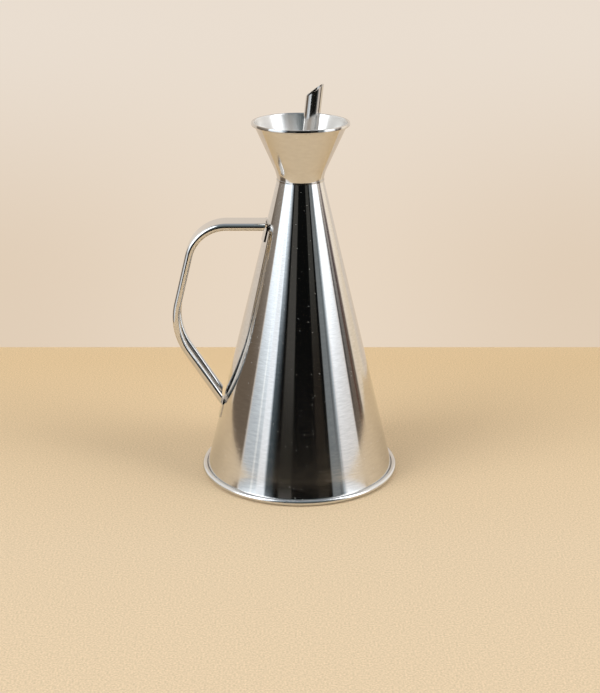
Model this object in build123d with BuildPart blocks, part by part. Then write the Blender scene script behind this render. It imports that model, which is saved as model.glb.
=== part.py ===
from build123d import *
from math import acos, asin, atan, cos, degrees, hypot, radians, sin, tan
import os

os.makedirs("parts", exist_ok=True)

# Olive oil can with a long spout, one litre. Millimetres, +Z up.
# The origin is at the middle of the flat ring that the can stands on.
# The handle is on the -X side and the spout leans towards +X.

# Body: a cone rolled from sheet, welded down its back and polished
body_sheet = 0.5
cone_foot_radius = 62.45
cone_top_radius = 14.9
cone_top_height = 196.4
foot_flare_height = 8.5
foot_flare_reach = 0.55
foot_flare_radius = 80.0
foot_bend_radius = 1.0

# Base: a pressed plate whose edge is rolled over the foot of the cone
base_sheet = 0.5
bead_overhang = 2.85
bead_height = 3.2
bead_lap_angle = 44.0
plate_seat_gap = 0.3
plate_recess_height = 4.0
plate_bend_radius = 1.0
plate_panel_radius = 44.0
plate_panel_rise = 1.2
plate_panel_slope_width = 3.0
plate_panel_bend_radius = 2.0

# Neck ring: a turned ring that joins the cone, the funnel and the stopper
ring_wall = 1.5
ring_lip_height = 1.0
ring_lip_proud = 0.25
ring_lower_spigot = 7.5
ring_upper_spigot = 3.6
ring_slip_gap = 0.05
ring_mouth_chamfer = 0.5

# Drip funnel: spun from sheet, with a rolled rim
funnel_sheet = 0.45
collar_lean = 6.6
collar_seat_gap = 0.1
throat_height_above_lip = 3.9
throat_bend_run = 3.6
rim_outer_radius = 31.05
funnel_height = 37.1
rim_roll_radius = 0.9
rim_roll_turn = 285.0

# Stopper: a pressed cup that plugs the neck and carries the spout
cup_sheet = 0.8
cup_flange_width = 1.75
cup_running_gap = 0.05
cup_depth = 11.2
cup_flange_bend_radius = 0.4
cup_floor_bend_radius = 2.0
drain_hole_radius = 2.0
drain_hole_margin = 1.55

# Seal: a soft washer under the flange of the stopper
seal_thickness = 1.2
seal_width = 1.05

# Spout: a straight thin tube, brazed in the floor of the cup
tube_radius = 4.5
tube_wall = 0.6
tube_lean = 6.1
tube_offset_at_floor = 2.11
tube_below_cup = 4.0
tube_tip_above_rim = 23.1
tube_cut_angle = 37.9

# Handle: a strap whose two edges are rolled in under it
strap_sheet = 0.7
strap_width = 18.7
edge_roll_radius = 2.45
edge_roll_turn = 270.0
strap_stand_off = 47.2
strap_shoulder_radius = 27.5
strap_knee_radius = 44.0
strap_top_share = 0.866
strap_knee_share = 0.5015
strap_foot_share = 0.2322
channel_end_gap = 2.4
tab_width = 17.0
tab_solder_gap = 0.05
top_tab_length = 12.0
top_fold_radius = 1.5
top_fold_relief = 0.2
foot_tab_rise = 1.2
foot_tab_length = 7.8

# Cuts run past the faces by this much
overrun = 5.0

# Turns, in degrees
quarter_turn = 90
half_turn = 180


def cone_radius(height):
    """Outer radius of the polished cone at a height above the table."""
    return cone_foot_radius + (cone_top_radius - cone_foot_radius) * height / cone_top_height


# Cone body: it flares a little near its foot, which turns out into a flange that the base plate grips
flange_top_height = base_sheet + body_sheet
flare_top_radius = cone_radius(foot_flare_height)
flare_foot_radius = cone_radius(flange_top_height) + foot_flare_reach
flare_slope = (flare_foot_radius - flare_top_radius) / (foot_flare_height - flange_top_height)
bead_radius = bead_height / 2
bead_centre_radius = cone_foot_radius + bead_overhang - bead_radius
with BuildPart() as cone_body:
    with BuildSketch(Plane.XZ):
        with BuildLine():
            FilletPolyline(
                (cone_top_radius, cone_top_height),
                (flare_top_radius, foot_flare_height),
                (flare_foot_radius, flange_top_height),
                (bead_centre_radius, flange_top_height),
                radius=[foot_flare_radius, foot_bend_radius],
            )
            offset(amount=body_sheet, side=Side.RIGHT)
        make_face()
    revolve(axis=Axis.Z)
cone_body.part.label = "cone_body"

# Base plate: rolled edge, flat ring to stand on, recessed panel
cone_half_angle_cosine = cone_top_height / (
    cone_top_height**2 + (cone_foot_radius - cone_top_radius) ** 2
) ** 0.5
wall_at_recess = flare_top_radius + flare_slope * (foot_flare_height - plate_recess_height)
cone_inside_at_recess = wall_at_recess - body_sheet * hypot(flare_slope, 1)
plate_wall_radius = cone_inside_at_recess - plate_seat_gap - base_sheet
plate_outer_bend = plate_bend_radius + base_sheet
panel_edge_radius = plate_panel_radius + plate_panel_slope_width
with BuildPart() as base_plate:
    with BuildSketch(Plane.XZ):
        with BuildLine():
            edge_roll = CenterArc(
                (bead_centre_radius, bead_radius),
                bead_radius,
                quarter_turn + bead_lap_angle,
                -(half_turn + bead_lap_angle),
            )
            FilletPolyline(
                (bead_centre_radius, 0),
                (plate_wall_radius, 0),
                (plate_wall_radius, plate_recess_height),
                (panel_edge_radius, plate_recess_height),
                (plate_panel_radius, plate_recess_height + plate_panel_rise),
                (0, plate_recess_height + plate_panel_rise),
                radius=[
                    plate_outer_bend,
                    plate_bend_radius,
                    plate_panel_bend_radius,
                    plate_panel_bend_radius,
                ],
            )
            offset(amount=base_sheet, side=Side.RIGHT)
        make_face()
    revolve(axis=Axis.Z)
base_plate.part.label = "base_plate"

# Neck ring: a spigot down into the cone, a lip that shows as a thin band, a spigot up into the funnel
ring_lip_top = cone_top_height + ring_lip_height
ring_top = ring_lip_top + ring_upper_spigot
ring_bottom = cone_top_height - ring_lower_spigot
cone_inside_at_top = cone_top_radius - body_sheet / cone_half_angle_cosine
ring_spigot_radius = cone_inside_at_top - ring_slip_gap
ring_bore_radius = ring_spigot_radius - ring_wall
with BuildPart() as neck_ring:
    with BuildSketch(Plane.XZ):
        with BuildLine():
            Polyline(
                (ring_bore_radius, ring_bottom),
                (ring_spigot_radius, ring_bottom),
                (ring_spigot_radius, cone_top_height),
                (cone_top_radius + ring_lip_proud, cone_top_height),
                (cone_top_radius + ring_lip_proud, ring_lip_top),
                (ring_spigot_radius, ring_lip_top),
                (ring_spigot_radius, ring_top),
                (ring_bore_radius + ring_mouth_chamfer, ring_top),
                (ring_bore_radius, ring_top - ring_mouth_chamfer),
                close=True,
            )
        make_face()
    revolve(axis=Axis.Z)
neck_ring.part.label = "neck_ring"

# Drip funnel: collar over the ring's upper spigot, flare, and a rim rolled outwards
collar_inside = ring_spigot_radius + ring_slip_gap
throat_height = ring_lip_top + throat_height_above_lip
throat_inside = collar_inside + throat_height_above_lip * tan(radians(collar_lean))
rim_top_height = cone_top_height + funnel_height
roll_centre_radius = rim_outer_radius - rim_roll_radius
roll_centre_height = rim_top_height - rim_roll_radius
roll_reach = roll_centre_radius - throat_inside
roll_rise = roll_centre_height - throat_height
flare_lean = degrees(atan(roll_reach / roll_rise) - asin(rim_roll_radius / hypot(roll_reach, roll_rise)))
mouth_inside = roll_centre_radius - rim_roll_radius * cos(radians(flare_lean))
mouth_height = roll_centre_height + rim_roll_radius * sin(radians(flare_lean))
throat_bend_radius = throat_bend_run / tan(radians(flare_lean - collar_lean) / 2)
with BuildPart() as drip_funnel:
    with BuildSketch(Plane.XZ):
        with BuildLine():
            FilletPolyline(
                (collar_inside, ring_lip_top + collar_seat_gap),
                (throat_inside, throat_height),
                (mouth_inside, mouth_height),
                radius=throat_bend_radius,
            )
            offset(amount=funnel_sheet, side=Side.RIGHT)
        make_face()
        with BuildLine():
            CenterArc(
                (roll_centre_radius, roll_centre_height),
                rim_roll_radius,
                half_turn - flare_lean,
                -rim_roll_turn,
            )
            offset(amount=funnel_sheet, side=Side.RIGHT)
        make_face()
    revolve(axis=Axis.Z)
drip_funnel.part.label = "drip_funnel"

# Seal ring: lies on top of the neck ring
cup_radius = ring_bore_radius - cup_running_gap
seal_bore_radius = cup_radius + cup_flange_bend_radius
with BuildPart() as seal_ring:
    with BuildSketch(Plane.XY.offset(ring_top)):
        Circle(seal_bore_radius + seal_width)
        Circle(seal_bore_radius, mode=Mode.SUBTRACT)
    extrude(amount=seal_thickness)
seal_ring.part.label = "seal_ring"

# Spout axis: the tube leans from the floor of the cup to its lip
tube_slope = tan(radians(tube_lean))
cup_flange_height = ring_top + seal_thickness
cup_floor_height = cup_flange_height - cup_depth


def tube_axis_x(height):
    """Where the axis of the spout stands at a height above the table."""
    return tube_offset_at_floor + (height - cup_floor_height) * tube_slope


tube_start_height = cup_floor_height - tube_below_cup
tube_tip_height = rim_top_height + tube_tip_above_rim
tube_plane = Plane(
    origin=(tube_axis_x(tube_start_height), 0, tube_start_height),
    x_dir=(cos(radians(tube_lean)), 0, -sin(radians(tube_lean))),
    z_dir=(sin(radians(tube_lean)), 0, cos(radians(tube_lean))),
)
tube_length = (tube_tip_height - tube_start_height) / cos(radians(tube_lean))

# Stopper cup: flange on the seal, wall down the bore, floor with the spout's hole and a drain hole
drain_hole_reach = cup_radius - cup_floor_bend_radius - drain_hole_margin - drain_hole_radius
with BuildPart() as stopper_cup:
    with BuildSketch(Plane.XZ):
        with BuildLine():
            FilletPolyline(
                (cup_radius + cup_flange_width, cup_flange_height),
                (cup_radius, cup_flange_height),
                (cup_radius, cup_floor_height),
                (0, cup_floor_height),
                radius=[cup_flange_bend_radius, cup_floor_bend_radius],
            )
            offset(amount=cup_sheet, side=Side.RIGHT)
        make_face()
    revolve(axis=Axis.Z)
    with BuildSketch(tube_plane):
        Circle(tube_radius)
    extrude(amount=tube_length, mode=Mode.SUBTRACT)
    with Locations((-drain_hole_reach, 0, cup_floor_height)):
        Hole(drain_hole_radius, depth=cup_sheet + overrun)
stopper_cup.part.label = "stopper_cup"

# Spout tube: cut on a slant, with the pointed lip on the pouring side
cut_plane = Plane(
    origin=(tube_axis_x(tube_tip_height) + tube_radius / cos(radians(tube_lean)), 0, tube_tip_height),
    x_dir=(0, 1, 0),
    z_dir=(-sin(radians(tube_cut_angle)), 0, cos(radians(tube_cut_angle))),
)
with BuildPart() as spout_tube:
    with BuildSketch(tube_plane):
        Circle(tube_radius)
        Circle(tube_radius - tube_wall, mode=Mode.SUBTRACT)
    extrude(amount=tube_length + tube_radius + overrun)
    split(bisect_by=cut_plane, keep=Keep.BOTTOM)
spout_tube.part.label = "spout_tube"

# Handle strap: rolled edges along the grip, and a flat web that runs on into a tab at each end
web_width = strap_width - 2 * edge_roll_radius
strap_top_height = strap_top_share * cone_top_height
strap_knee_height = strap_knee_share * cone_top_height
strap_foot_height = strap_foot_share * cone_top_height
strap_shoulder_reach = cone_radius(strap_top_height) + strap_stand_off
strap_knee_reach = cone_radius(strap_knee_height) + strap_stand_off
strap_foot_reach = cone_radius(strap_foot_height)
strap_foot_slope = (strap_knee_reach - strap_foot_reach) / (strap_knee_height - strap_foot_height)
strap_end = (overrun * strap_foot_slope - strap_foot_reach, strap_foot_height - overrun)
tab_offset = tab_solder_gap / cone_half_angle_cosine
top_fold_turn = quarter_turn + degrees(acos(cone_half_angle_cosine))
top_fold_run = top_fold_radius * tan(radians(top_fold_turn) / 2) * cone_half_angle_cosine
fold_radius_at_cone = cone_radius(strap_top_height) + tab_offset
top_tab_end_height = strap_top_height - top_tab_length
foot_tab_end_height = strap_foot_height - foot_tab_length


def cone_profile(gap, low_height, high_height):
    """Outline, from the axis out, of the cone with a gap added square to its face."""
    added_radius = gap / cone_half_angle_cosine
    return Polyline(
        (0, low_height),
        (-cone_radius(low_height) - added_radius, low_height),
        (-cone_radius(high_height) - added_radius, high_height),
        (0, high_height),
        close=True,
    )


with BuildPart() as handle_strap:
    with BuildLine(Plane.XZ) as strap_path:
        FilletPolyline(
            (overrun - cone_radius(strap_top_height), strap_top_height),
            (-strap_shoulder_reach, strap_top_height),
            (-strap_knee_reach, strap_knee_height),
            strap_end,
            radius=[strap_shoulder_radius, strap_knee_radius],
        )
    section_plane = Plane(origin=strap_path.line @ 0, x_dir=(0, -1, 0), z_dir=(-1, 0, 0))
    with BuildSketch(section_plane) as channel:
        with BuildLine():
            Line((-web_width / 2, 0), (web_width / 2, 0))
            for side in (-1, 1):
                roll_centre = (side * web_width / 2, -edge_roll_radius)
                CenterArc(roll_centre, edge_roll_radius, quarter_turn, -side * edge_roll_turn)
            offset(amount=strap_sheet, side=Side.RIGHT)
        make_face()
    sweep(path=strap_path.line)
    with BuildSketch(Plane.XZ):
        with BuildLine():
            cone_profile(channel_end_gap, 0, cone_top_height)
        make_face()
    revolve(axis=Axis.Z, mode=Mode.SUBTRACT)
    with BuildSketch(section_plane):
        Rectangle(web_width, strap_sheet, align=(Align.CENTER, Align.MAX))
    sweep(path=strap_path.line)
    with BuildSketch(Plane.XZ):
        with BuildLine():
            cone_profile(top_fold_run, strap_knee_height, cone_top_height)
        make_face()
    revolve(axis=Axis.Z, mode=Mode.SUBTRACT)
    top_tab_angle = degrees(asin(tab_width / 2 / cone_radius(top_tab_end_height)))
    with BuildSketch(Plane.XZ.rotated((0, 0, -top_tab_angle))):
        with BuildLine():
            FilletPolyline(
                (-cone_radius(top_tab_end_height) - tab_offset, top_tab_end_height),
                (-fold_radius_at_cone, strap_top_height),
                (-fold_radius_at_cone - channel_end_gap + top_fold_relief, strap_top_height),
                radius=top_fold_radius,
            )
            offset(amount=strap_sheet, side=Side.LEFT)
        make_face()
    revolve(axis=Axis.Z, revolution_arc=2 * top_tab_angle)
    foot_tab_angle = degrees(asin(tab_width / 2 / cone_radius(foot_tab_end_height)))
    with BuildSketch(Plane.XZ.rotated((0, 0, -foot_tab_angle))):
        with BuildLine():
            cone_profile(
                tab_solder_gap + strap_sheet,
                foot_tab_end_height,
                strap_foot_height + foot_tab_rise,
            )
        make_face()
    revolve(axis=Axis.Z, revolution_arc=2 * foot_tab_angle)
    with BuildSketch(Plane.XZ):
        with BuildLine():
            cone_profile(tab_solder_gap, 0, cone_top_height)
        make_face()
    revolve(axis=Axis.Z, mode=Mode.SUBTRACT)
handle_strap.part.label = "handle_strap"

for piece in (
    cone_body,
    base_plate,
    neck_ring,
    drip_funnel,
    seal_ring,
    stopper_cup,
    spout_tube,
    handle_strap,
):
    export_step(piece.part, f"parts/{piece.part.label}.step")
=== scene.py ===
import math

import bmesh
import bpy
from mathutils import Matrix, Vector


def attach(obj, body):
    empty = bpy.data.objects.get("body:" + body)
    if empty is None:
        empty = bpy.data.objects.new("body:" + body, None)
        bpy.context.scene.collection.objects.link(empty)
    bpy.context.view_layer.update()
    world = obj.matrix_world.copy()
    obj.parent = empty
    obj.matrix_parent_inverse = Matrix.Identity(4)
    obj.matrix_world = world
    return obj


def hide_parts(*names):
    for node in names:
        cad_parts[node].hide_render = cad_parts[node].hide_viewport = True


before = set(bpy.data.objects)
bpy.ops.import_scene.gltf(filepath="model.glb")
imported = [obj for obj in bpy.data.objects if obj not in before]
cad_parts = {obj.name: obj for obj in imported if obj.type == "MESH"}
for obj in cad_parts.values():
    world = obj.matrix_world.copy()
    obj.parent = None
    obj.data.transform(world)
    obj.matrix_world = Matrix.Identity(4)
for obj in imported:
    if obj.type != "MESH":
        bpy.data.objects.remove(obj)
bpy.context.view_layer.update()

# Cone body: stainless sheet rolled into a cone, welded down its back and
# polished round and round, so that it mirrors the studio in upright bands.
# Its foot turns out into a flange that the base plate's rolled edge grips.
cone_foot_radius = 0.06245
cone_top_radius = 0.0149
cone_top_height = 0.1964
cone_sheet = 0.0005
cone_flange_top = 0.001
cone_flange_reach = 0.0633
cone_foot_bend = 0.001
cone_flare_height = 0.0085
cone_flare_reach = 0.00055
cone_flare_bend = 0.16
turned_steps = 288
bend_steps = 10
holding_gap = 0.0003
least_gaps_in_run = 4
sharp_corner = math.radians(40)
merge_gap = 1e-6


def draw_straight(bm, tip, end):
    """Draws a straight run of an outline, held near each end so that its shading stays flat."""
    run = end - tip.co
    stops = [end]
    if run.length > least_gaps_in_run * holding_gap:
        hold = run.normalized() * holding_gap
        stops = [tip.co + hold, end - hold, end]
    for stop in stops:
        tip = bmesh.ops.extrude_vert_indiv(bm, verts=[tip])["verts"][0]
        tip.co = stop
    return tip


def draw_bend(bm, tip, centre, axis, turn, steps=bend_steps):
    """Draws a round bend of an outline by spinning its last point."""
    spun = bmesh.ops.spin(bm, geom=[tip], cent=centre, axis=axis, angle=turn, steps=steps)
    return spun["geom_last"][0]


def draw_bent_sheet(bm, corners, radii):
    """Draws the outline of a bent sheet through its corners, each inner corner rounded to its radius."""
    corners = [Vector(corner) for corner in corners]
    tip = bm.verts.new(corners[0])
    for before, corner, after, radius in zip(corners, corners[1:], corners[2:], radii):
        coming = (corner - before).normalized()
        going = (after - corner).normalized()
        turn = coming.angle(going)
        axis = coming.cross(going).normalized()
        tip = draw_straight(bm, tip, corner - coming * radius * math.tan(turn / 2))
        tip = draw_bend(bm, tip, tip.co + axis.cross(coming) * radius, axis, turn)
    return draw_straight(bm, tip, corners[-1])


def turn_round(bm, steps=turned_steps):
    """Spins an outline once round the can's axis and closes its seam and its pole."""
    outline = bm.verts[:] + bm.edges[:]
    bmesh.ops.spin(
        bm, geom=outline, cent=(0, 0, 0), axis=(0, 0, 1), angle=math.tau, steps=steps, use_merge=True
    )
    bmesh.ops.remove_doubles(bm, verts=bm.verts[:], dist=merge_gap)
    bmesh.ops.recalc_face_normals(bm, faces=bm.faces[:])


def finish_piece(bm, name, materials, body, node):
    """Makes the mesh a smooth piece that stands for its CAD node and rides on its body."""
    for edge in bm.edges:
        edge.smooth = edge.calc_face_angle(0) < sharp_corner
    for face in bm.faces:
        face.smooth = True
    mesh = bpy.data.meshes.new(name)
    bm.to_mesh(mesh)
    bm.free()
    piece = bpy.data.objects.new(name, mesh)
    bpy.context.scene.collection.objects.link(piece)
    for material in materials:
        mesh.materials.append(material)
    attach(piece, body)
    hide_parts(node)


def new_group(name, inputs, outputs):
    """Starts a shader node group with named sockets and gives its tree, input node and output node."""
    group = bpy.data.node_groups.new(name, "ShaderNodeTree")
    for socket, kind in inputs:
        group.interface.new_socket(name=socket, in_out="INPUT", socket_type="NodeSocket" + kind)
    for socket, kind in outputs:
        group.interface.new_socket(name=socket, in_out="OUTPUT", socket_type="NodeSocket" + kind)
    return group, group.nodes.new("NodeGroupInput"), group.nodes.new("NodeGroupOutput")


def node(tree, kind, settings=(), values=()):
    """Adds a shader node, sets its options, and fills its sockets with values or links."""
    made = tree.nodes.new("ShaderNode" + kind)
    for option, choice in dict(settings).items():
        setattr(made, option, choice)
    for socket, value in dict(values).items():
        if isinstance(value, bpy.types.NodeSocket):
            tree.links.new(value, made.inputs[socket])
        else:
            made.inputs[socket].default_value = value
    return made


def calculate(tree, operation, *values, clamp=False):
    """Adds a math node and gives its output."""
    made = node(tree, "Math", {"operation": operation, "use_clamp": clamp}, dict(enumerate(values)))
    return made.outputs[0]


# The two ways that grain runs on the can's steel: round the axis on turned
# and polished pieces, and along the piece on drawn and folded ones.
round_grain, way_in, way_out = new_group(
    "grain round the axis",
    [("Position", "Vector"), ("Streaks round", "Float"), ("Lines up", "Float")],
    [("Grain", "Vector")],
)
flat_place = node(round_grain, "VectorMath", {"operation": "MULTIPLY"}, {0: way_in.outputs[0], 1: (1, 1, 0)})
compass = node(round_grain, "VectorMath", {"operation": "NORMALIZE"}, {0: flat_place.outputs[0]})
streaks = node(
    round_grain,
    "VectorMath",
    {"operation": "SCALE"},
    {"Vector": compass.outputs[0], "Scale": way_in.outputs["Streaks round"]},
)
level = node(round_grain, "SeparateXYZ", (), {0: way_in.outputs["Position"]})
lines_up = calculate(round_grain, "MULTIPLY", level.outputs["Z"], way_in.outputs["Lines up"])
raised = node(round_grain, "CombineXYZ", (), {"Z": lines_up})
grain_sum = node(
    round_grain, "VectorMath", {"operation": "ADD"}, {0: streaks.outputs[0], 1: raised.outputs[0]}
)
round_grain.links.new(grain_sum.outputs[0], way_out.inputs["Grain"])

# Polish: what the buffing wheel and use leave on every steel surface, which
# is fine lines, softer and harder patches, finger marks and a little dust.
opaque = 1.0
whole = 1.0
line_scale = 1
line_detail = 3
line_span = 2.0
line_middle = -1.0
mark_scale = 42
mark_detail = 4
mark_softness = 0.6
mark_waver = 1.2
mark_start = 0.52
mark_full = 0.72
dust_scale = 330
dust_size = 0.055
dust_colour = (0.75, 0.73, 0.7)
dust_roughness = 0.8
polish, polish_in, polish_out = new_group(
    "polish and use",
    [
        ("Position", "Vector"),
        ("Grain", "Vector"),
        ("Steel", "Color"),
        ("Shade of lines", "Float"),
        ("Roughness", "Float"),
        ("Roughness of lines", "Float"),
        ("Marks", "Float"),
        ("Dust", "Float"),
    ],
    [("Color", "Color"), ("Roughness", "Float"), ("Metallic", "Float"), ("Height", "Float")],
)
fine_lines = node(
    polish,
    "TexNoise",
    (),
    {"Vector": polish_in.outputs["Grain"], "Scale": line_scale, "Detail": line_detail},
)
line_shade = calculate(polish, "MULTIPLY_ADD", fine_lines.outputs["Fac"], line_span, line_middle)
finger_marks = node(
    polish,
    "TexNoise",
    (),
    {
        "Vector": polish_in.outputs["Position"],
        "Scale": mark_scale,
        "Detail": mark_detail,
        "Roughness": mark_softness,
        "Distortion": mark_waver,
    },
)
mark_patches = node(
    polish,
    "MapRange",
    {"interpolation_type": "SMOOTHSTEP"},
    {"Value": finger_marks.outputs["Fac"], "From Min": mark_start, "From Max": mark_full},
)
marks = calculate(polish, "MULTIPLY", mark_patches.outputs["Result"], polish_in.outputs["Marks"])
dust_specks = node(
    polish,
    "TexVoronoi",
    {"feature": "F1"},
    {"Vector": polish_in.outputs["Position"], "Scale": dust_scale},
)
speck_pick = node(polish, "SeparateColor", (), {0: dust_specks.outputs["Color"]})
speck_size = calculate(polish, "LESS_THAN", dust_specks.outputs["Distance"], dust_size)
speck_kept = calculate(polish, "LESS_THAN", speck_pick.outputs[0], polish_in.outputs["Dust"])
dust = calculate(polish, "MULTIPLY", speck_size, speck_kept)
shade = calculate(polish, "MULTIPLY_ADD", line_shade, polish_in.outputs["Shade of lines"], whole)
lined_steel = node(
    polish, "VectorMath", {"operation": "SCALE"}, {"Vector": polish_in.outputs["Steel"], "Scale": shade}
)
dusty_steel = node(
    polish,
    "Mix",
    {"data_type": "RGBA"},
    {"Factor": dust, "A": lined_steel.outputs[0], "B": (*dust_colour, opaque)},
)
lined_roughness = calculate(
    polish,
    "MULTIPLY_ADD",
    line_shade,
    polish_in.outputs["Roughness of lines"],
    polish_in.outputs["Roughness"],
)
marked_roughness = calculate(polish, "ADD", lined_roughness, marks)
dusty_roughness = calculate(
    polish, "MAXIMUM", marked_roughness, calculate(polish, "MULTIPLY", dust, dust_roughness)
)
polish.links.new(dusty_steel.outputs["Result"], polish_out.inputs["Color"])
polish.links.new(dusty_roughness, polish_out.inputs["Roughness"])
polish.links.new(calculate(polish, "SUBTRACT", whole, dust), polish_out.inputs["Metallic"])
polish.links.new(fine_lines.outputs["Fac"], polish_out.inputs["Height"])


steel_colour = (0.70, 0.69, 0.675)
usual_marks = 0.02
usual_dust = 0.1
usual_shading = 0.07
line_roughness_share = 0.25
quarter_round = 0.25


def new_material(name):
    """Starts a material and gives it, its node tree and the place on its piece."""
    material = bpy.data.materials.new(name)
    material.use_nodes = True
    tree = material.node_tree
    tree.nodes.clear()
    return material, tree, node(tree, "TexCoord").outputs["Object"]


def polished_steel(
    name, roughness, stretch, depth, grain, marks=usual_marks, dust=usual_dust, shading=usual_shading
):
    """Makes a steel. Its grain is (streaks round, lines up) if turned, or a scale along each axis."""
    material, tree, place = new_material(name)
    if len(grain) == 2:
        way = node(
            tree,
            "Group",
            {"node_tree": round_grain},
            {"Position": place, "Streaks round": grain[0], "Lines up": grain[1]},
        )
    else:
        way = node(tree, "Mapping", (), {"Vector": place, "Scale": grain})
    surface = node(
        tree,
        "Group",
        {"node_tree": polish},
        {
            "Position": place,
            "Grain": way.outputs[0],
            "Steel": (*steel_colour, opaque),
            "Shade of lines": shading,
            "Roughness": roughness,
            "Roughness of lines": roughness * line_roughness_share,
            "Marks": marks,
            "Dust": dust,
        },
    )
    bump = node(
        tree, "Bump", (), {"Height": surface.outputs["Height"], "Strength": whole, "Distance": depth}
    )
    shader = node(
        tree,
        "BsdfPrincipled",
        (),
        {
            "Base Color": surface.outputs["Color"],
            "Roughness": surface.outputs["Roughness"],
            "Metallic": surface.outputs["Metallic"],
            "Normal": bump.outputs["Normal"],
            "Anisotropic": stretch,
            "Anisotropic Rotation": quarter_round,
        },
    )
    if len(grain) == 2:
        around = node(tree, "Tangent", {"direction_type": "RADIAL", "axis": "Z"})
        tree.links.new(around.outputs[0], shader.inputs["Tangent"])
    node(tree, "OutputMaterial", (), {"Surface": shader.outputs[0]})
    return material


cone_finish = dict(
    roughness=0.08, stretch=0.8, depth=5.5e-6, grain=(9.0, 1300.0), marks=0.01, dust=0.9, shading=0.14
)
cone_steel = polished_steel("cone polished steel", **cone_finish)
cone_slope = (cone_foot_radius - cone_top_radius) / cone_top_height


def cone_radius(height):
    """Outer radius of the cone at a height above the table."""
    return cone_foot_radius - cone_slope * height


bm = bmesh.new()
draw_bent_sheet(
    bm,
    [
        (cone_top_radius, 0, cone_top_height),
        (cone_radius(cone_flare_height), 0, cone_flare_height),
        (cone_radius(cone_flange_top) + cone_flare_reach, 0, cone_flange_top),
        (cone_flange_reach, 0, cone_flange_top),
    ],
    [cone_flare_bend, cone_foot_bend],
)
turn_round(bm)
bmesh.ops.solidify(bm, geom=bm.faces[:], thickness=cone_sheet)
finish_piece(bm, "cone_shell", [cone_steel], "can", "cone_body")

# Base plate: a pressed disc of the same sheet. Its edge is rolled over the
# cone's flange into the bead that the can stands on, and its middle is
# recessed, so that only a flat ring touches the table.
base_sheet = 0.0005
bead_radius = 0.002
bead_centre = 0.0633
bead_turn = math.radians(212)
base_wall_radius = 0.060487
base_recess = 0.004
base_panel_edge = 0.047
base_panel_radius = 0.044
base_panel_rise = 0.0012
base_bends = [0.002, 0.002, 0.001, 0.0015]
bead_steps = 28
base_finish = dict(roughness=0.2, stretch=0, depth=1e-6, grain=(6.0, 3000.0), marks=0.03)
base_steel = polished_steel("base plate steel", **base_finish)
bm = bmesh.new()
foot = draw_bent_sheet(
    bm,
    [
        (0, 0, base_recess + base_panel_rise),
        (base_panel_radius, 0, base_recess + base_panel_rise),
        (base_panel_edge, 0, base_recess),
        (base_wall_radius, 0, base_recess),
        (base_wall_radius, 0, 0),
        (bead_centre, 0, 0),
    ],
    base_bends,
)
draw_bend(bm, foot, (bead_centre, 0, bead_radius), (0, -1, 0), bead_turn, bead_steps)
turn_round(bm)
bmesh.ops.solidify(bm, geom=bm.faces[:], thickness=base_sheet)
finish_piece(bm, "base_pan", [base_steel], "can", "base_plate")

# Neck ring: turned from bar and soldered in the top of the cone. Only its lip
# shows, as a thin band under the funnel; the rest carries funnel and stopper.
ring_bore = 0.012836
ring_spigot = 0.014336
ring_lip = 0.01515
ring_foot = 0.1889
ring_lip_top = 0.1974
ring_top = 0.201
ring_mouth_chamfer = 0.0005
ring_outline = [
    (ring_bore, ring_foot),
    (ring_spigot, ring_foot),
    (ring_spigot, cone_top_height),
    (ring_lip, cone_top_height),
    (ring_lip, ring_lip_top),
    (ring_spigot, ring_lip_top),
    (ring_spigot, ring_top),
    (ring_bore + ring_mouth_chamfer, ring_top),
    (ring_bore, ring_top - ring_mouth_chamfer),
    (ring_bore, ring_foot),
]
ring_finish = dict(roughness=0.12, stretch=0.6, depth=5e-7, grain=(4.0, 6000.0))
ring_steel = polished_steel("turned ring steel", **ring_finish)
bm = bmesh.new()
tip = bm.verts.new((ring_outline[0][0], 0, ring_outline[0][1]))
for radius, height in ring_outline[1:]:
    tip = draw_straight(bm, tip, Vector((radius, 0, height)))
turn_round(bm)
finish_piece(bm, "neck_ring_turned", [ring_steel], "can", "neck_ring")

# Drip funnel: spun from one disc over a former, flaring from the neck to a rim
# that is rolled outwards and pressed flat on its outside. It is polished
# outside and left satin inside, where drips run back.
funnel_sheet = 0.00045
collar_inside = 0.014386
collar_foot = 0.1975
throat_inside = 0.014837
throat_height = 0.2013
throat_bend_run = 0.0036
rim_roll_radius = 0.0009
roll_centre = Vector((0.03015, 0, 0.2326))
rim_bend = 0.0009
rim_face_lean = math.radians(13)
rim_face_height = 0.0011
rim_under_turn = math.radians(175)
outside_finish = dict(roughness=0.12, stretch=0.5, depth=2e-6, grain=(5.0, 700.0), shading=0.1)
outside_steel = polished_steel("funnel outside steel", **outside_finish)
inside_finish = dict(roughness=0.3, stretch=0.8, depth=4e-7, grain=(7.0, 300.0), marks=0.03)
inside_steel = polished_steel("funnel inside satin", **inside_finish)
throat = Vector((throat_inside, 0, throat_height))
to_roll = roll_centre - throat
flare_lean = math.atan(to_roll.x / to_roll.z) - math.asin(rim_roll_radius / to_roll.length)
across_flare = Vector((math.cos(flare_lean), 0, -math.sin(flare_lean)))
mouth = roll_centre - rim_roll_radius * across_flare
collar_lean = math.atan((throat_inside - collar_inside) / (throat_height - collar_foot))
throat_bend = throat_bend_run / math.tan((flare_lean - collar_lean) / 2)
bm = bmesh.new()
brim = draw_bent_sheet(bm, [(collar_inside, 0, collar_foot), throat, mouth], [throat_bend])
top_centre = mouth + rim_bend * across_flare
brim = draw_bend(bm, brim, top_centre, (0, 1, 0), flare_lean + math.pi / 2 - rim_face_lean)
rim_face = rim_face_height * Vector((math.sin(rim_face_lean), 0, -math.cos(rim_face_lean)))
brim = draw_straight(bm, brim, brim.co + rim_face)
brim_centre = brim.co - rim_bend * Vector((math.cos(rim_face_lean), 0, math.sin(rim_face_lean)))
draw_bend(bm, brim, brim_centre, (0, 1, 0), rim_under_turn)
turn_round(bm)
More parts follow.
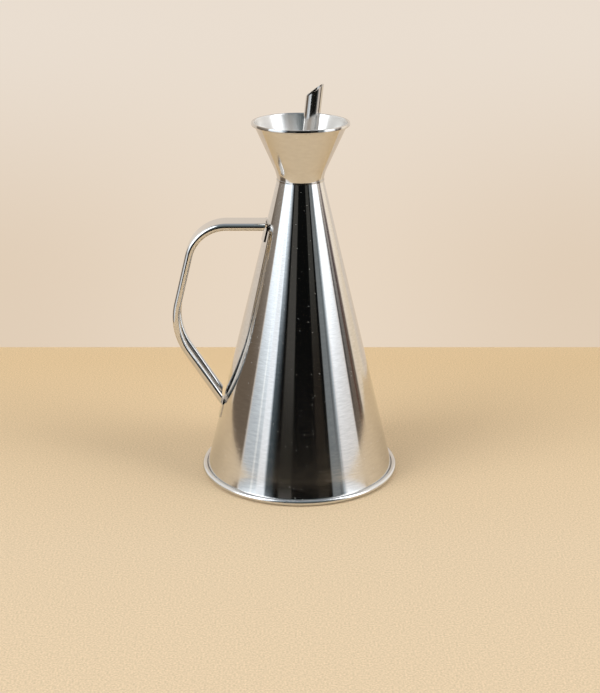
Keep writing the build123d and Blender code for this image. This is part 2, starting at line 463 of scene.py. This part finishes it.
lowest = min(bm.faces, key=lambda face: face.calc_center_median().z)
if lowest.normal.dot(Vector((*lowest.calc_center_median().xy, 0))) > 0:
    bmesh.ops.reverse_faces(bm, faces=bm.faces[:])
bmesh.ops.solidify(bm, geom=bm.faces[:], thickness=funnel_sheet)
for face in bm.faces:
    middle = face.calc_center_median()
    inwards = face.normal.dot(Vector((*middle.xy, 0))) < 0
    if inwards and middle.z < mouth.z and middle.xy.length < mouth.x:
        face.material_index = 1
finish_piece(bm, "drip_bowl", [outside_steel, inside_steel], "can", "drip_funnel")

# Stopper cup: pressed from sheet. Its flange rests on the seal, and its floor
# has a hole for the spout and a small one that drains the funnel.
cup_finish = dict(roughness=0.22, stretch=0.5, depth=2e-6, grain=(4.0, 8000.0))
cup_steel = polished_steel("stopper cup steel", **cup_finish)
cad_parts["stopper_cup"].data.materials.clear()
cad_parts["stopper_cup"].data.materials.append(cup_steel)

# Spout: a length of thin drawn tube brazed into the cup's floor, cut on a
# slant and dressed, so that its point pours and its edge shines.
tube_radius = 0.0045
tube_wall = 0.0006
tube_lean = math.radians(6.1)
tube_foot = Vector((0.0016825, 0, 0.187))
tube_length = 0.085
tube_cut_angle = math.radians(37.9)
tube_tip = Vector((0.013646, 0, 0.2566))
tube_steps = 96
tube_finish = dict(roughness=0.12, stretch=0, depth=5e-7, grain=(9000.0, 9000.0, 60.0))
tube_steel = polished_steel("drawn tube steel", **tube_finish)
bm = bmesh.new()
bmesh.ops.create_circle(bm, segments=tube_steps, radius=tube_radius)
lean = Matrix.Rotation(tube_lean, 4, "Y")
bmesh.ops.transform(bm, matrix=Matrix.Translation(tube_foot) @ lean, verts=bm.verts[:])
drawn = bmesh.ops.extrude_edge_only(bm, edges=bm.edges[:])
drawn_verts = [part for part in drawn["geom"] if isinstance(part, bmesh.types.BMVert)]
bmesh.ops.translate(bm, vec=lean @ Vector((0, 0, tube_length)), verts=drawn_verts)
bmesh.ops.bisect_plane(
    bm,
    geom=bm.verts[:] + bm.edges[:] + bm.faces[:],
    plane_co=tube_tip,
    plane_no=(-math.sin(tube_cut_angle), 0, math.cos(tube_cut_angle)),
    clear_outer=True,
)
bmesh.ops.recalc_face_normals(bm, faces=bm.faces[:])
bmesh.ops.solidify(bm, geom=bm.faces[:], thickness=tube_wall)
finish_piece(bm, "pouring_tube", [tube_steel], "spout", "spout_tube")

# Seal: a soft ring of food-safe silicone that lies on the neck ring, under
# the stopper's flange, and takes up the slack between them.
silicone_deep = (0.62, 0.6, 0.56)
silicone_pale = (0.72, 0.7, 0.66)
cloud_scale = 700
cloud_detail = 3
silicone_roughness = 0.45
silicone_roughness_span = 0.2
silicone_grain_depth = 2e-5
silicone, tree, place = new_material("seal silicone")
cloudy = node(tree, "TexNoise", (), {"Vector": place, "Scale": cloud_scale, "Detail": cloud_detail})
colours = node(
    tree,
    "Mix",
    {"data_type": "RGBA"},
    {
        "Factor": cloudy.outputs["Fac"],
        "A": (*silicone_deep, opaque),
        "B": (*silicone_pale, opaque),
    },
)
softness = calculate(
    tree, "MULTIPLY_ADD", cloudy.outputs["Fac"], silicone_roughness_span, silicone_roughness
)
grain_bump = node(tree, "Bump", (), {"Height": cloudy.outputs["Fac"], "Distance": silicone_grain_depth})
rubber = node(
    tree,
    "BsdfPrincipled",
    (),
    {"Base Color": colours.outputs["Result"], "Roughness": softness, "Normal": grain_bump.outputs["Normal"]},
)
node(tree, "OutputMaterial", (), {"Surface": rubber.outputs[0]})
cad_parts["seal_ring"].data.materials.clear()
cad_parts["seal_ring"].data.materials.append(silicone)

# Handle: a strip of sheet whose two long edges are rolled in under it, so that
# the hand meets no cut edge. The flat web alone runs on past the rolls, into a
# tab folded down against the cone at the top and one that it lands on below.
strap_sheet = 0.0007
web_half_width = 0.0069
web_steps = 24
edge_roll_radius = 0.00245
edge_roll_turn = math.radians(270)
edge_roll_steps = 36
strap_top = 0.170082
strap_knee = 0.098495
strap_foot = 0.045604
strap_stand_off = 0.0472
strap_bends = [0.0275, 0.044]
strap_bend_steps = 48
roll_end_gap = 0.0024
top_run_in = 0.0045
foot_run_in = 0.011
tab_half_width = 0.0085
tab_gap = 0.00005
fold_radius = 0.0015
fold_reach = 0.0022
lap_shadow = 0.00002
top_tab_end = 0.158082
foot_tab_end = 0.037804
foot_tab_top = 0.046804
tab_steps = 24
handle_finish = dict(roughness=0.05, stretch=0, depth=2e-7, grain=(60.0, 9000.0, 60.0))
handle_steel = polished_steel("handle steel", **handle_finish)
slope_cosine = 1 / math.hypot(1, cone_slope)


def sweep_straight(bm, section, travel):
    """Carries a section along a straight run and gives the section at its end."""
    hold = travel.normalized() * holding_gap
    for step in (hold, travel - hold * 2, hold):
        made = bmesh.ops.extrude_edge_only(bm, edges=section)["geom"]
        verts = [part for part in made if isinstance(part, bmesh.types.BMVert)]
        section = [part for part in made if isinstance(part, bmesh.types.BMEdge)]
        bmesh.ops.translate(bm, vec=step, verts=verts)
    return section


def run_to_cone(bm, section, way, gap):
    """Carries a part of the section along a way until each of its points is a gap away from the cone."""
    made = bmesh.ops.extrude_edge_only(bm, edges=section)["geom"]
    for vert in [part for part in made if isinstance(part, bmesh.types.BMVert)]:
        reach = cone_radius(vert.co.z) + gap / slope_cosine
        closing = -cone_slope * way.z
        squared = way.x**2 - closing**2
        halved = vert.co.x * way.x - reach * closing
        left_over = vert.co.xy.length_squared - reach**2
        vert.co += way * (-halved - math.sqrt(halved**2 - squared * left_over)) / squared


def parted(section, place, going):
    """Parts a section's edges into those of the flat web and those of the two rolls."""
    outwards = Vector((going.z, 0, -going.x))
    web = [
        edge
        for edge in section
        if all(abs((vert.co - place).dot(outwards)) < merge_gap for vert in edge.verts)
    ]
    return web, [edge for edge in section if edge not in web]


def add_tab(bm, corners, radii, half_angle):
    """Adds a tab that hugs the cone, from its outline on the side that faces the cone."""
    tab = bmesh.new()
    draw_bent_sheet(tab, corners, radii)
    bmesh.ops.rotate(tab, verts=tab.verts[:], cent=(0, 0, 0), matrix=Matrix.Rotation(-half_angle, 3, "Z"))
    outline = tab.verts[:] + tab.edges[:]
    bmesh.ops.spin(
        tab, geom=outline, cent=(0, 0, 0), axis=(0, 0, 1), angle=2 * half_angle, steps=tab_steps
    )
    bmesh.ops.recalc_face_normals(tab, faces=tab.faces[:])
    lowest = min(tab.faces, key=lambda face: face.calc_center_median().z)
    if lowest.normal.dot(Vector((*lowest.calc_center_median().xy, 0))) > 0:
        bmesh.ops.reverse_faces(tab, faces=tab.faces[:])
    bmesh.ops.solidify(tab, geom=tab.faces[:], thickness=strap_sheet)
    carried = bpy.data.meshes.new("tab")
    tab.to_mesh(carried)
    tab.free()
    bm.from_mesh(carried)
    bpy.data.meshes.remove(carried)


shoulder_reach = cone_radius(strap_top) + strap_stand_off
knee_reach = cone_radius(strap_knee) + strap_stand_off
foot_leg = Vector((knee_reach - cone_radius(strap_foot), 0, strap_foot - strap_knee))
route = [
    Vector((-cone_radius(strap_top) - top_run_in, 0, strap_top)),
    Vector((-shoulder_reach, 0, strap_top)),
    Vector((-knee_reach, 0, strap_knee)),
    Vector((-cone_radius(strap_foot), 0, strap_foot)) - foot_leg.normalized() * foot_run_in,
]
bm = bmesh.new()
near_end = bm.verts.new(route[0] - Vector((0, web_half_width, 0)))
far_end = near_end
for step in range(web_steps):
    far_end = bmesh.ops.extrude_vert_indiv(bm, verts=[far_end])["verts"][0]
    far_end.co.y += 2 * web_half_width / web_steps
for end, axis in ((far_end, (-1, 0, 0)), (near_end, (1, 0, 0))):
    edge_centre = end.co - Vector((0, 0, edge_roll_radius))
    draw_bend(bm, end, edge_centre, axis, edge_roll_turn, edge_roll_steps)
section = bm.edges[:]
place = route[0]
going = (route[1] - place).normalized()
web, rolls = parted(section, place, going)
fold_run = fold_radius * math.tan((math.pi / 2 + math.atan(cone_slope)) / 2) * slope_cosine
run_to_cone(bm, web, -going, fold_run + tab_gap)
run_to_cone(bm, rolls, -going, roll_end_gap)
for corner, after, radius in zip(route[1:], route[2:], strap_bends):
    next_way = (after - corner).normalized()
    turn = going.angle(next_way)
    axis = going.cross(next_way).normalized()
    bend_start = corner - going * radius * math.tan(turn / 2)
    section = sweep_straight(bm, section, bend_start - place)
    verts = list({vert for edge in section for vert in edge.verts})
    spun = bmesh.ops.spin(
        bm,
        geom=verts + section,
        cent=bend_start + axis.cross(going) * radius,
        axis=axis,
        angle=turn,
        steps=strap_bend_steps,
    )
    section = [part for part in spun["geom_last"] if isinstance(part, bmesh.types.BMEdge)]
    place = corner + next_way * radius * math.tan(turn / 2)
    going = next_way
section = sweep_straight(bm, section, route[-1] - place)
web, rolls = parted(section, route[-1], going)
run_to_cone(bm, web, going, tab_gap)
run_to_cone(bm, rolls, going, roll_end_gap)
bmesh.ops.remove_doubles(bm, verts=bm.verts[:], dist=merge_gap)
bmesh.ops.recalc_face_normals(bm, faces=bm.faces[:])
web_face = max(bm.faces, key=lambda face: face.calc_center_median().z)
if web_face.normal.z < 0:
    bmesh.ops.reverse_faces(bm, faces=bm.faces[:])
bmesh.ops.solidify(bm, geom=bm.faces[:], thickness=strap_sheet)
tab_start = cone_radius(strap_top) + tab_gap / slope_cosine
add_tab(
    bm,
    [
        (-cone_radius(top_tab_end) - tab_gap / slope_cosine, 0, top_tab_end),
        (-tab_start, 0, strap_top - lap_shadow),
        (-tab_start - fold_reach, 0, strap_top - lap_shadow),
    ],
    [fold_radius],
    math.asin(tab_half_width / cone_radius(top_tab_end)),
)
add_tab(
    bm,
    [
        (-cone_radius(foot_tab_end) - tab_gap / slope_cosine, 0, foot_tab_end),
        (-cone_radius(foot_tab_top) - tab_gap / slope_cosine, 0, foot_tab_top),
    ],
    [],
    math.asin(tab_half_width / cone_radius(foot_tab_end)),
)
finish_piece(bm, "handle_channel", [handle_steel], "can", "handle_strap")

# The table that the can stands on: a plain pale board with a fine paper grain.
# It ends a little way behind the can and half a metre in front of it. Its colour
# is painted paler and greyer towards the front, which is painted sheen, and
# darker and yellower towards the back, which is painted shade.
table_left = -0.34
table_right = 0.44
table_back = 0.234
table_front = -0.5
table_drop = 0.00003
paper_scale = 900
paper_detail = 3
# Paper colour at the front, paler with painted sheen, and at the back, darker with painted shade.
paper_front_painted_sheen = (0.648, 0.492, 0.316)
paper_back_painted_shade = (0.627, 0.439, 0.236)
painted_sheen_edge = -0.12
painted_shade_edge = 0.2
fleck_span = 0.8
fleck_least = 0.6
paper_grain_depth = 0.0001
paper_roughness = 0.75
table_paint, tree, place = new_material("table paper with painted sheen and shade")
paper = node(tree, "TexNoise", (), {"Vector": place, "Scale": paper_scale, "Detail": paper_detail})
# Blends from the front colour to the back colour across the table: this blend paints sheen in front and
# shade behind.
painted_light_blend = node(
    tree,
    "MapRange",
    (),
    {
        "Value": node(tree, "SeparateXYZ", (), {0: place}).outputs["Y"],
        "From Min": painted_sheen_edge,
        "From Max": painted_shade_edge,
    },
)
paper_and_painted_light = node(
    tree,
    "Mix",
    {"data_type": "RGBA"},
    {
        "Factor": painted_light_blend.outputs["Result"],
        "A": (*paper_front_painted_sheen, opaque),
        "B": (*paper_back_painted_shade, opaque),
    },
)
fleck = calculate(tree, "MULTIPLY_ADD", paper.outputs["Fac"], fleck_span, fleck_least)
paper_shade = node(
    tree, "VectorMath", {"operation": "SCALE"}, {"Vector": paper_and_painted_light.outputs["Result"], "Scale": fleck}
)
paper_bump = node(tree, "Bump", (), {"Height": paper.outputs["Fac"], "Distance": paper_grain_depth})
board = node(
    tree,
    "BsdfPrincipled",
    (),
    {
        "Base Color": paper_shade.outputs[0],
        "Roughness": paper_roughness,
        "Normal": paper_bump.outputs["Normal"],
    },
)
node(tree, "OutputMaterial", (), {"Surface": board.outputs[0]})
bm = bmesh.new()
bmesh.ops.create_grid(bm, x_segments=1, y_segments=1, size=1)
table_half_width = (table_right - table_left) / 2
table_half_depth = (table_back - table_front) / 2
bmesh.ops.scale(bm, vec=(table_half_width, table_half_depth, 1), verts=bm.verts[:])
table_place = (table_right - table_half_width, table_back - table_half_depth, -table_drop)
bmesh.ops.translate(bm, vec=table_place, verts=bm.verts[:])
mesh = bpy.data.meshes.new("table")
bm.to_mesh(mesh)
bm.free()
mesh.materials.append(table_paint)
table = bpy.data.objects.new("table", mesh)
bpy.context.scene.collection.objects.link(table)

# The studio round the can, by compass bearing from the camera's side: a pale
# backdrop behind, a white soft box and a dark stand on each side, and the
# unlit room in front. The camera sees pale backdrop whichever way it looks.
world = bpy.data.worlds.new("studio")
bpy.context.scene.world = world
world.use_nodes = True
tree = world.node_tree
tree.nodes.clear()

card_group, card_in, card_out = new_group(
    "studio card",
    [
        ("Behind", "Color"),
        ("Bearing", "Float"),
        ("Height", "Float"),
        ("Left", "Float"),
        ("Right", "Float"),
        ("Low", "Float"),
        ("High", "Float"),
        ("Softness", "Float"),
        ("Low colour", "Color"),
        ("High colour", "Color"),
        ("Fade low", "Float"),
        ("Fade high", "Float"),
    ],
    [("Color", "Color")],
)


def card_edge(value, edge, rising):
    """One soft edge of a studio card, 1 on the card's side."""
    low = calculate(card_group, "SUBTRACT", card_in.outputs[edge], card_in.outputs["Softness"])
    high = calculate(card_group, "ADD", card_in.outputs[edge], card_in.outputs["Softness"])
    made = node(
        card_group,
        "MapRange",
        {"interpolation_type": "SMOOTHSTEP"},
        {
            "Value": card_in.outputs[value],
            "From Min": low,
            "From Max": high,
            "To Min": 0 if rising else 1,
            "To Max": 1 if rising else 0,
        },
    )
    return made.outputs["Result"]


left_edge = card_edge("Bearing", "Left", True)
right_edge = card_edge("Bearing", "Right", False)
across = calculate(card_group, "MULTIPLY", left_edge, right_edge)
low_edge = card_edge("Height", "Low", True)
high_edge = card_edge("Height", "High", False)
upward = calculate(card_group, "MULTIPLY", low_edge, high_edge)
fade = node(
    card_group,
    "MapRange",
    {"interpolation_type": "SMOOTHSTEP"},
    {
        "Value": card_in.outputs["Height"],
        "From Min": card_in.outputs["Fade low"],
        "From Max": card_in.outputs["Fade high"],
    },
)
card_colour = node(
    card_group,
    "Mix",
    {"data_type": "RGBA"},
    {
        "Factor": fade.outputs["Result"],
        "A": card_in.outputs["Low colour"],
        "B": card_in.outputs["High colour"],
    },
)
on_card = node(
    card_group,
    "Mix",
    {"data_type": "RGBA"},
    {
        "Factor": calculate(card_group, "MULTIPLY", across, upward),
        "A": card_in.outputs["Behind"],
        "B": card_colour.outputs["Result"],
    },
)
card_group.links.new(on_card.outputs["Result"], card_out.inputs["Color"])

backdrop_low = -17.0
backdrop_high = -6.0
backdrop_middle = 1.0
backdrop_aside = 13.0
half_turn = 180.0
turned_over = -1.0
middle_colour = (0.807, 0.68, 0.546)
side_colour = (0.752, 0.617, 0.478)
upper_colour = (0.82, 0.727, 0.63)
direction = node(tree, "SeparateXYZ", (), {0: node(tree, "TexCoord").outputs["Generated"]})
towards_camera = calculate(tree, "MULTIPLY", direction.outputs["Y"], turned_over)
bearing = calculate(
    tree, "DEGREES", calculate(tree, "ARCTAN2", direction.outputs["X"], towards_camera)
)
height = calculate(tree, "DEGREES", calculate(tree, "ARCSINE", direction.outputs["Z"]))
backdrop_height = node(
    tree,
    "MapRange",
    {"interpolation_type": "SMOOTHSTEP"},
    {"Value": height, "From Min": backdrop_low, "From Max": backdrop_high},
)
aside = calculate(tree, "SUBTRACT", half_turn, calculate(tree, "ABSOLUTE", bearing))
backdrop_side = node(
    tree,
    "MapRange",
    {"interpolation_type": "SMOOTHSTEP"},
    {"Value": aside, "From Min": backdrop_middle, "From Max": backdrop_aside},
)
low_backdrop = node(
    tree,
    "Mix",
    {"data_type": "RGBA"},
    {
        "Factor": backdrop_side.outputs["Result"],
        "A": (*middle_colour, opaque),
        "B": (*side_colour, opaque),
    },
)
backdrop = node(
    tree,
    "Mix",
    {"data_type": "RGBA"},
    {
        "Factor": backdrop_height.outputs["Result"],
        "A": low_backdrop.outputs["Result"],
        "B": (*upper_colour, opaque),
    },
)


def lay_card(behind, name, bearings, heights, softness, low_colour, high_colour, fade):
    """Lays a card between two bearings and two heights over what is behind it."""
    card = node(
        tree,
        "Group",
        {"node_tree": card_group, "label": name},
        {
            "Behind": behind,
            "Bearing": bearing,
            "Height": height,
            "Left": bearings[0],
            "Right": bearings[-1],
            "Low": heights[0],
            "High": heights[-1],
            "Softness": softness,
            "Low colour": (*low_colour, opaque),
            "High colour": (*high_colour, opaque),
            "Fade low": fade[0],
            "Fade high": fade[-1],
        },
    )
    return card.outputs["Color"]


cards = [
    dict(
        name="ceiling",
        bearings=(-200, 200),
        heights=(50, 100),
        softness=10,
        low_colour=(0.38, 0.42, 0.46),
        high_colour=(0.36, 0.39, 0.44),
        fade=(50, 70),
    ),
    dict(
        name="left wall",
        bearings=(-150, -80),
        heights=(6, 50),
        softness=4,
        low_colour=(0.8, 0.78, 0.74),
        high_colour=(1.0, 1.0, 0.98),
        fade=(8, 14),
    ),
    dict(
        name="right wall",
        bearings=(86, 150),
        heights=(4, 50),
        softness=4,
        low_colour=(1.0, 0.92, 0.82),
        high_colour=(1.1, 1.08, 1.05),
        fade=(6, 14),
    ),
    dict(
        name="right of the backdrop",
        bearings=(108, 134),
        heights=(-30, 8),
        softness=6,
        low_colour=(0.92, 0.78, 0.6),
        high_colour=(1.15, 1.03, 0.88),
        fade=(-7, 1),
    ),
    dict(
        name="left stand",
        bearings=(-121, -80),
        heights=(-95, 9),
        softness=2,
        low_colour=(0.17, 0.13, 0.095),
        high_colour=(0.32, 0.28, 0.24),
        fade=(-2, 5),
    ),
    dict(
        name="right stand",
        bearings=(85.5, 107),
        heights=(-95, 5),
        softness=2,
        low_colour=(0.17, 0.13, 0.1),
        high_colour=(0.26, 0.21, 0.2),
        fade=(-4, 2),
    ),
    dict(
        name="right stand's pole",
        bearings=(86.5, 90),
        heights=(-3, 6),
        softness=1,
        low_colour=(0.07, 0.07, 0.065),
        high_colour=(0.1, 0.11, 0.12),
        fade=(-1, 3),
    ),
    dict(
        name="right stand's clamp",
        bearings=(91, 96),
        heights=(-2, 4),
        softness=1.5,
        low_colour=(0.16, 0.16, 0.15),
        high_colour=(0.42, 0.4, 0.38),
        fade=(-1, 3),
    ),
    dict(
        name="right stand's arm",
        bearings=(98, 102),
        heights=(-9, 4),
        softness=1,
        low_colour=(0.13, 0.075, 0.055),
        high_colour=(0.07, 0.055, 0.055),
        fade=(-3, 1),
    ),
    dict(
        name="room",
        bearings=(-60, 60),
        heights=(-95, 60),
        softness=1.5,
        low_colour=(0.01, 0.0095, 0.0085),
        high_colour=(0.004, 0.0042, 0.004),
        fade=(0, 5),
    ),
    dict(
        name="room above",
        bearings=(-60, 60),
        heights=(18, 70),
        softness=4,
        low_colour=(0.03, 0.035, 0.04),
        high_colour=(0.16, 0.2, 0.21),
        fade=(20, 45),
    ),
    dict(
        name="glow of the box",
        bearings=(-70, -36),
        heights=(-95, 60),
        softness=7,
        low_colour=(0.07, 0.095, 0.11),
        high_colour=(1.25, 1.4, 1.55),
        fade=(4.5, 13.5),
    ),
    dict(
        name="shelf",
        bearings=(-26, -10),
        heights=(-95, 20),
        softness=1.5,
        low_colour=(0.018, 0.017, 0.014),
        high_colour=(0.075, 0.072, 0.066),
        fade=(3, 7),
    ),
    dict(
        name="curtain",
        bearings=(22, 35),
        heights=(1, 20),
        softness=1,
        low_colour=(0.02, 0.016, 0.012),
        high_colour=(0.06, 0.06, 0.055),
        fade=(5, 11),
    ),
    dict(
        name="door",
        bearings=(40, 60),
        heights=(-95, 55),
        softness=1,
        low_colour=(0.12, 0.12, 0.115),
        high_colour=(0.22, 0.24, 0.25),
        fade=(-12, 0),
    ),
    dict(
        name="door's edge",
        bearings=(50, 52),
        heights=(1, 55),
        softness=0.8,
        low_colour=(0.12, 0.13, 0.14),
        high_colour=(0.14, 0.17, 0.18),
        fade=(0, 10),
    ),
    dict(
        name="frame of the box",
        bearings=(54, 60),
        heights=(-95, 55),
        softness=1,
        low_colour=(0.5, 0.5, 0.5),
        high_colour=(0.45, 0.52, 0.58),
        fade=(-3, 4),
    ),
    dict(
        name="left soft box",
        bearings=(-78.5, -43),
        heights=(-40, 66),
        softness=2,
        low_colour=(0.6, 0.65, 0.69),
        high_colour=(1.5, 1.65, 1.8),
        fade=(-1, 8),
    ),
    dict(
        name="fold in the left box",
        bearings=(-62, -59.5),
        heights=(-40, 10),
        softness=0.8,
        low_colour=(0.85, 0.87, 0.89),
        high_colour=(1.3, 1.4, 1.45),
        fade=(-1, 4),
    ),
    dict(
        name="edge of the left box",
        bearings=(-54, -44.5),
        heights=(-40, 10),
        softness=1.5,
        low_colour=(1.0, 1.02, 1.05),
        high_colour=(1.15, 1.22, 1.3),
        fade=(-1, 4),
    ),
    dict(
        name="hot middle of the left box",
        bearings=(-77, -46),
        heights=(13, 64),
        softness=4,
        low_colour=(3.2, 3.4, 3.6),
        high_colour=(4.0, 4.2, 4.4),
        fade=(12, 30),
    ),
    dict(
        name="low edge of the left box",
        bearings=(-46, -38),
        heights=(-24, -6),
        softness=1,
        low_colour=(1.2, 1.25, 1.3),
        high_colour=(1.2, 1.25, 1.3),
        fade=(-20, -10),
    ),
    dict(
        name="foot of the left box",
        bearings=(-80, -46),
        heights=(-60, -19),
        softness=3,
        low_colour=(1.1, 1.1, 1.1),
        high_colour=(1.1, 1.1, 1.1),
        fade=(-40, -20),
    ),
    dict(
        name="right soft box",
        bearings=(57, 85),
        heights=(-30, 66),
        softness=1.5,
        low_colour=(0.75, 0.66, 0.58),
        high_colour=(0.88, 0.86, 0.85),
        fade=(-14, -5),
    ),
    dict(
        name="foot of the right box",
        bearings=(58, 84),
        heights=(-60, -23),
        softness=3,
        low_colour=(1.1, 1.08, 1.05),
        high_colour=(1.1, 1.08, 1.05),
        fade=(-40, -20),
    ),
    dict(
        name="bright of the right box",
        bearings=(58, 84),
        heights=(1.5, 66),
        softness=4,
        low_colour=(1.25, 1.32, 1.4),
        high_colour=(1.65, 1.75, 1.85),
        fade=(2, 6),
    ),
    dict(
        name="hot middle of the right box",
        bearings=(59, 83),
        heights=(11, 64),
        softness=4,
        low_colour=(3.0, 3.1, 3.2),
        high_colour=(3.8, 3.9, 4.0),
        fade=(10, 30),
    ),
]
studio = backdrop.outputs["Result"]
for card in cards:
    studio = lay_card(studio, **card)
rays = node(tree, "LightPath")
seen = node(
    tree,
    "Mix",
    {"data_type": "RGBA"},
    {"Factor": rays.outputs["Is Camera Ray"], "A": studio, "B": backdrop.outputs["Result"]},
)
sky = node(tree, "Background", (), {"Color": seen.outputs["Result"], "Strength": whole})
node(tree, "OutputWorld", (), {"Surface": sky.outputs[0]})

# Two soft boxes light the can and the table; the left one is the key.
lamp_aim = Vector((0, 0, 0.1))
soft_boxes = [
    dict(name="key soft box", place=(-0.95, -0.75, 0.95), power=7.3, side=1.5),
    dict(name="fill soft box", place=(1.15, -0.35, 0.95), power=5.3, side=1.4),
]
for box in soft_boxes:
    lamp = bpy.data.lights.new(box["name"], "AREA")
    lamp.shape = "RECTANGLE"
    lamp.size = box["side"]
    lamp.size_y = box["side"]
    lamp.energy = box["power"]
    light = bpy.data.objects.new(box["name"], lamp)
    light.location = box["place"]
    light.rotation_euler = (lamp_aim - Vector(box["place"])).to_track_quat("-Z", "Y").to_euler()
    light.visible_glossy = False
    bpy.context.scene.collection.objects.link(light)

# The camera, fitted to the photograph: near a metre away, looking down a little.
film_width = 36.0
lens_length = 71.604
nearest_seen = 0.05
lens_shift = 0.02
camera_place = (-0.009, -0.85345, 0.39184)
camera_dip = math.radians(19.79)
camera_turn = math.pi / 2 - camera_dip
view_data = bpy.data.cameras.new("camera")
view_data.sensor_width = film_width
view_data.lens = lens_length
view_data.clip_start = nearest_seen
view_data.shift_x = lens_shift
camera = bpy.data.objects.new("camera", view_data)
camera.location = camera_place
camera.rotation_euler = (camera_turn, 0, 0)
bpy.context.scene.collection.objects.link(camera)
bpy.context.scene.camera = camera
bpy.context.scene.view_settings.view_transform = "Standard"
